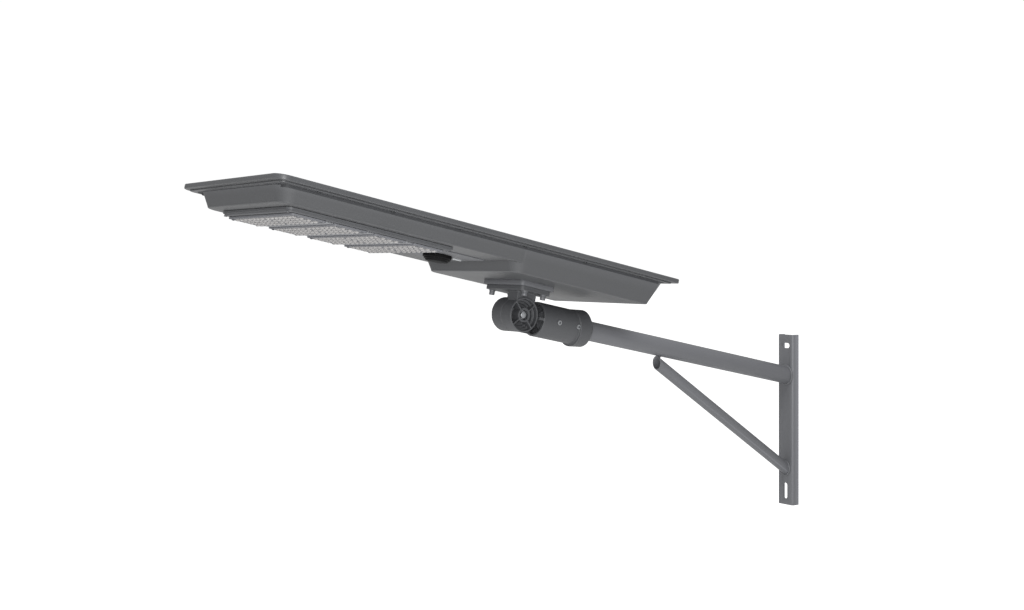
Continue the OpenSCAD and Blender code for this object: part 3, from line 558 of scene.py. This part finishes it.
lens_columns, lens_rows = 14, 4
side_margin, end_margin = 24, 13
half_strip = 3  # half of the plain strip down the middle, between the two banks of lenses
sheet_thick, rim_height = 4, 0.7
lens_long, lens_short, lens_height, lens_sunk = 7.2, 4.6, 3.8, 0.9
for number, (low, high) in enumerate(modules, 1):
    centre_y = (low.y + high.y) / 2
    long, wide = high.y - low.y, high.x - low.x
    sheet_low = high.z - sheet_thick
    sheet = [(0, high.z, 0.4), (0, sheet_low, 0.8), (-2.6, sheet_low, 0.5),
             (-3.2, sheet_low + rim_height, 0.3), (-6, sheet_low + rim_height, 0)]
    rings = [outline(high.x + d, -low.y + d, high.y + d, max(5 + d, 1.5), max(5 + d, 1.5), z)
             for d, z in round_corners(sheet, closed=False, steps=3)]
    piece(f"lens_moulding_{number}", [loft(rings)], optic_sheet, "lamp_head", [f"lens_{number}"],
          corner=60)
    domes = []
    pitch_x, pitch_y = (wide - side_margin) / lens_columns, (long - end_margin) / lens_rows
    for column in range(lens_columns):
        x = (column - (lens_columns - 1) / 2) * pitch_x
        x += half_strip if column >= lens_columns / 2 else -half_strip
        for row in range(lens_rows):
            y = centre_y + (row - (lens_rows - 1) / 2) * pitch_y
            domes.append(oblong_dome(x, y, sheet_low + lens_sunk, lens_long, lens_short,
                                     lens_height))
    piece(f"lens_domes_{number}", domes, optic_painted_bright, "lamp_head", [f"lens_{number}"],
          corner=60)

# %% [markdown]
# ## The motion sensor
#
# The sensor's cover is a turned shape with steps, like a shallow lid. A profile spun round its
# axis makes it, and the rounded corners of the profile become the bright rings that the eye
# reads as a moulded edge.

# %% Sensor cover
def spin(profile, around=72):
    """A closed profile of (radius, height) points turned round the vertical axis."""
    turns = [math.tau * i / around for i in range(around)]
    return loft([[Vector((radius * math.cos(turn), radius * math.sin(turn), z)) for turn in turns]
                 for radius, z in profile])


low, high = head_box("sensor_cover")
radius, centre_y = (high.x - low.x) / 2, (low.y + high.y) / 2
wall_steps = [(radius - 1, high.z, 0), (radius, high.z - 1, 0.6),
              (radius, low.z + 9.2, 1.4), (radius - 3, low.z + 8.4, 0.7),
              (radius - 3.6, low.z + 5.2, 1.2), (radius - 6.4, low.z + 4.6, 0.7),
              (radius - 7.2, low.z + 1.6, 2.4), (radius - 14, low.z + 0.2, 4), (0.4, low.z, 0)]
cover = spin([tuple(point) for point in round_corners(wall_steps, closed=False)])
bmesh.ops.translate(cover, vec=(0, centre_y, 0), verts=cover.verts)
piece("sensor_lid", [cover], sensor_shell, "lamp_head", ["sensor_cover"])

# %% [markdown]
# ## The castings of the tilt joint
#
# The slip fitter and the tilt bracket are sand or gravity castings, and their inner and outer
# corners are all filleted. Filleting each edge by hand would take a long list of edges.
# Remeshing a copy of the solid into small cells and smoothing it rounds every edge alike, as
# the casting process does.

# %% Rounded castings
def as_casting(name, source, cell_mm, passes, body):
    """A copy of a node with every edge softened, as a casting's edges are."""
    rough = bpy.data.objects.new(name + "_rough", nodes[source].data.copy())
    bpy.context.scene.collection.objects.link(rough)
    weld = rough.modifiers.new("weld", "WELD")
    weld.merge_threshold = 0.02 * MM
    cells = rough.modifiers.new("cells", "REMESH")
    cells.mode, cells.voxel_size = "VOXEL", cell_mm * MM
    soften = rough.modifiers.new("soften", "SMOOTH")
    soften.factor, soften.iterations = 0.5, passes
    scene_state = bpy.context.evaluated_depsgraph_get()
    shaped = bpy.data.meshes.new_from_object(rough.evaluated_get(scene_state))
    bpy.data.objects.remove(rough)
    shaped.name = name
    dress(bpy.data.objects.new(name, shaped), casting_coat, body, [source], corner=89)


as_casting("slip_fitter_casting", "slip_fitter", 1.0, 3, "slip_fitter")
as_casting("tilt_bracket_casting", "tilt_bracket", 1.0, 3, "lamp_head")

# %% [markdown]
# ## Weld beads
#
# A bead of weld is a row of overlapping ripples that the welder's hand leaves. A torus would
# look like a rubber ring. The bead here is a round bar swept along the joint whose radius swells
# and falls a little at each ripple.

# %% Beads
def bead(path, radius, ripple_mm=3.2, closed=True, around=10):
    """A rippled bar along a list of points."""
    rings, travelled = [], 0.0
    count = len(path)
    for i, point in enumerate(path):
        ahead = path[(i + 1) % count] if closed or i < count - 1 else point * 2 - path[i - 1]
        behind = path[i - 1] if closed or i > 0 else point * 2 - ahead
        along = (ahead - behind).normalized()
        side = along.cross(Vector((0, 1, 0.2))).normalized()
        up = along.cross(side)
        travelled += (point - path[i - 1]).length if i else 0.0
        ripple = 0.1 * math.sin(math.tau * travelled / ripple_mm)
        wander = 0.04 * math.sin(travelled * 0.9)
        swell = radius * (1 + ripple + wander)
        if not closed and i in (0, count - 1):
            swell *= 0.45
        rings.append([point + side * swell * math.cos(math.tau * k / around)
                      + up * swell * math.sin(math.tau * k / around) for k in range(around)])
    return loft(rings, closed=closed)


channel_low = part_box("wall_channel")[0]
web = channel_low.y / MM


def extent(name, inside):
    """Lowest and highest corner in millimetres of a node's points for which inside holds."""
    points = [vertex.co / MM for vertex in nodes[name].data.vertices if inside(vertex.co / MM)]
    return [Vector(pick(point[i] for point in points) for i in range(3)) for pick in (min, max)]


def root_bead(tube, radius, count=160):
    """A closed bead round the oval in which a sloping tube meets the web."""
    low, high = extent(tube, lambda point: point.y > web - 2)
    middle = (low.z + high.z) / 2
    wide, tall = (high.x - low.x) / 2 + radius * 0.3, (high.z - low.z) / 2 + radius * 0.3
    turns = [math.tau * i / count for i in range(count)]
    oval = [Vector((wide * math.cos(turn), web - radius * 0.4, middle + tall * math.sin(turn)))
            for turn in turns]
    return bead(oval, radius)


millimetres = Matrix.Scale(MM, 4)
piece("arm_weld_bead", [root_bead("arm_tube", 3.0)], weld_coat, "wall_bracket", ["arm_weld"],
      place=millimetres)
tip_low, tip_high = extent("brace_welds", lambda point: point.y < web - 60)
tip = (tip_low + tip_high) / 2
tip_reach, tip_bow = 7, 0.08 / 6  # half the short bead's length, and how strongly it bows
tip_path = [tip + Vector((x, tip_bow * x * x - 1, 0)) for x in range(-tip_reach, tip_reach + 1)]
tip_bead = bead(tip_path, 3.4, closed=False)
piece("brace_weld_beads", [root_bead("brace_tube", 2.6), tip_bead], weld_coat, "wall_bracket",
      ["brace_welds"], place=millimetres)

# %% [markdown]
# ## Ribbons on the cells
#
# Flat tinned ribbons carry the current from cell to cell. Three run along each column, on top
# of the wafers and under the glass. They are thin enough to draw in the cell's finish, but a
# low view shows their edges, so they are strips with a real thickness.

# %% Ribbons
def columns(name):
    """The (low, high) width of each column of separate boxes in a node, in the head's frame."""
    mesh = bmesh.new()
    mesh.from_mesh(nodes[name].data)
    bmesh.ops.remove_doubles(mesh, verts=mesh.verts, dist=0.01 * MM)
    waiting, spans = set(mesh.verts), set()
    while waiting:
        group, fresh = [], [waiting.pop()]
        while fresh:
            vertex = fresh.pop()
            group.append((to_head @ vertex.co).x)
            for edge in vertex.link_edges:
                other = edge.other_vert(vertex)
                if other in waiting:
                    waiting.discard(other)
                    fresh.append(other)
        spans.add((round(min(group), 1), round(max(group), 1)))
    mesh.free()
    return sorted(spans)


ribbon_metal = finish("tinned_copper_ribbon", "#b9babb", "#c6c7c8", 0.6, 0.01, 0.3, drift_mm=8,
                      metallic=1.0)
cells_low, cells_high = head_box("solar_cells")
cells_middle = (cells_low.y + cells_high.y) / 2
ribbon_size = (1.4, cells_high.y - cells_low.y - 6, 0.14)
ribbon_z = cells_high.z + 0.06
strips = []
for low_x, high_x in columns("solar_cells"):
    for share in (1 / 6, 1 / 2, 5 / 6):
        ribbon_x = low_x + (high_x - low_x) * share
        strip = bmesh.new()
        bmesh.ops.create_cube(strip, size=1.0)
        bmesh.ops.scale(strip, vec=ribbon_size, verts=strip.verts)
        bmesh.ops.translate(strip, vec=(ribbon_x, cells_middle, ribbon_z), verts=strip.verts)
        strips.append(strip)
piece("cell_ribbons", strips, ribbon_metal, "lamp_head")

# %% [markdown]
# ## Finishes on the parts that stay
#
# The rest of the model is good as it is: tubes, screws, seals, boards and cells. One table says
# which finish each node wears, so that two parts of the same stuff always match.

# %% Materials on the nodes that stay
wearing = {
    steel_coat: ["wall_channel", "arm_tube", "brace_tube", "adapter_plate", "service_panel"],
    weld_coat: ["light_plate_screws", "lens_screws"],
    zinc: ["set_screws", "pivot_bolt", "pivot_nut", "pivot_washers"],
    coated_bolt: ["bracket_bolts", "bracket_washers"],
    black_zinc: ["frame_screws"],
    friction_fibre: ["friction_disc"],
    seal_rubber: ["frame_seal", "light_plate_seal", "lens_seals"],
    backsheet_film: ["panel_backsheet"],
    silicon: ["solar_cells"],
    panel_cover: ["panel_glass"],
    black_abs: ["junction_box", "button_switch", "vent_plug"],
    white_board: ["led_board_1", "led_board_2", "led_board_3", "led_board_4"],
    led_phosphor: ["led_chips"],
    green_board: ["sensor_board", "battery_board", "controller_board"],
    grey_abs: ["button_cap"],
    spring_wire: ["button_spring"],
    shrink_sleeve: ["battery_cells"],
    holder_pp: ["battery_holders"],
    strip_steel: ["battery_straps"],
    cast_aluminium: ["controller_case", "controller_lid"],
    silicone_wire: ["wire_harness"],
}
for material, names in wearing.items():
    for name in names:
        nodes[name].data.materials.clear()
        nodes[name].data.materials.append(material)
print("dressed", sum(len(names) for names in wearing.values()), "nodes")

# %% [markdown]
# ## Soft edges on the parts that stay
#
# No real edge is perfectly sharp, and a thin highlight along it is what makes metal look solid.
# The model's own mesh stays untouched. A modifier welds it, drops the seams inside its flat
# faces, and rounds what is left by 0.3 to 1.2 mm.

# %% Soft edges on plain parts
def soften_edges(name, width_mm, segments=3, angle=35):
    """Welds a node's faces together and rounds its sharp edges, without touching its mesh."""
    thing = nodes[name]
    weld = thing.modifiers.new("weld", "WELD")
    weld.merge_threshold = 0.02 * MM
    flat = thing.modifiers.new("plain faces", "DECIMATE")
    flat.decimate_type, flat.angle_limit = "DISSOLVE", math.radians(1)
    edge = thing.modifiers.new("soft edges", "BEVEL")
    edge.width, edge.segments, edge.limit_method = width_mm * MM, segments, "ANGLE"
    edge.angle_limit, edge.harden_normals = math.radians(angle), True
    thing.data.shade_smooth()


edge_widths = {"wall_channel": 0.6, "arm_tube": 0.5, "brace_tube": 0.5, "adapter_plate": 1.2,
               "service_panel": 0.5, "bracket_bolts": 0.7, "bracket_washers": 0.3,
               "set_screws": 0.4, "pivot_bolt": 0.8, "button_cap": 0.5, "vent_plug": 0.8}
for name, width in edge_widths.items():
    soften_edges(name, width)
print("softened the edges of", len(edge_widths), "nodes")

# %% [markdown]
# ## Floor and surround
#
# The lamp hangs in a white studio, a pale floor that melts into a white surround. A floor and a
# surround that are bright enough to look white would also wash out the grey coat. Both are
# therefore bright only where the camera sees them straight, and dim as lights on the lamp.

# %% Floor and surround
FLOOR_DROP, FLOOR_REACH = 1.3, 60
floor_mesh = bmesh.new()
bmesh.ops.create_grid(floor_mesh, x_segments=8, y_segments=8, size=FLOOR_REACH)
floor_data = bpy.data.meshes.new("studio_floor")
floor_mesh.to_mesh(floor_data)
floor_mesh.free()
floor = bpy.data.objects.new("studio_floor", floor_data)
floor.location.z = channel_low.z - FLOOR_DROP
bpy.context.scene.collection.objects.link(floor)
floor_finish = finish("pale_studio_floor", "#f2f2f2", "#f5f5f5", 3.0, 0.01, 0.9, drift_mm=900,
                      spread=0.03, more={"Emission Color": (1.0, 1.0, 1.0, 1.0)})
floor_tree = floor_finish.node_tree
seen = add(floor_tree, "ShaderNodeLightPath")
lift = add(floor_tree, "ShaderNodeMapRange", {"To Min": 0.1, "To Max": 0.8},
           {"Value": seen.outputs["Is Camera Ray"]})
floor_tree.links.new(lift.outputs["Result"],
                     floor_tree.nodes["Principled BSDF"].inputs["Emission Strength"])
floor.data.materials.append(floor_finish)

world = bpy.data.worlds.new("white_studio")
bpy.context.scene.world = world
world.use_nodes = True
surround = world.node_tree.nodes["Background"]
surround.inputs["Color"].default_value = (1, 1, 1, 1)
rays = add(world.node_tree, "ShaderNodeLightPath")
strength = add(world.node_tree, "ShaderNodeMapRange", {"To Min": 0.46, "To Max": 1.03},
               {"Value": rays.outputs["Is Camera Ray"]})
world.node_tree.links.new(strength.outputs["Result"], surround.inputs["Strength"])
bpy.context.scene.view_settings.view_transform = "Standard"
print("floor at", round(floor.location.z, 3))

# %% [markdown]
# ## Lights
#
# One large softbox overhead lights the whole lamp, and a smaller one to the side draws the
# rounded corners. The large one would be mirrored in the panel's glass as one white sheet, so it
# is hidden from reflections and only the small one leaves a highlight.

# %% Lights
def softbox(name, place, target, size, power, mirrored=True):
    """A square area light that looks at a point. One that isn't mirrored leaves no glare."""
    light = bpy.data.lights.new(name, "AREA")
    light.size, light.energy = size, power
    lamp = bpy.data.objects.new(name, light)
    lamp.location = place
    lamp.visible_glossy = mirrored
    lamp.rotation_euler = (Vector(target) - Vector(place)).to_track_quat("-Z", "Y").to_euler()
    bpy.context.scene.collection.objects.link(lamp)
    print(name, size, "m across,", power, "W")


softbox("top_softbox", (0.9, -1.6, 3.8), (0, -0.8, 0.3), 2.6, 190, mirrored=False)
softbox("side_softbox", (4.0, -4.0, 0.7), (0, -1.1, 0.4), 1.4, 185)

# %% [markdown]
# ## Camera
#
# A level camera keeps the channel upright. Tilting it to centre the lamp would make the upright
# lines lean, so a small vertical shift of the sensor does that. The head's own slope shows its
# underside.

# %% Camera
TURN_FROM_WALL = 53.717
eye = bpy.data.cameras.new("camera")
eye.lens, eye.sensor_width, eye.sensor_fit = 46.0, 36.0, "HORIZONTAL"
eye.shift_y = -0.0426
camera = bpy.data.objects.new("camera", eye)
camera.location = (2.46207, -2.76606, 0.43567)
camera.rotation_euler = (math.pi / 2, 0, math.radians(TURN_FROM_WALL))
bpy.context.scene.collection.objects.link(camera)
bpy.context.scene.camera = camera
print("camera at", [round(value, 2) for value in camera.location])
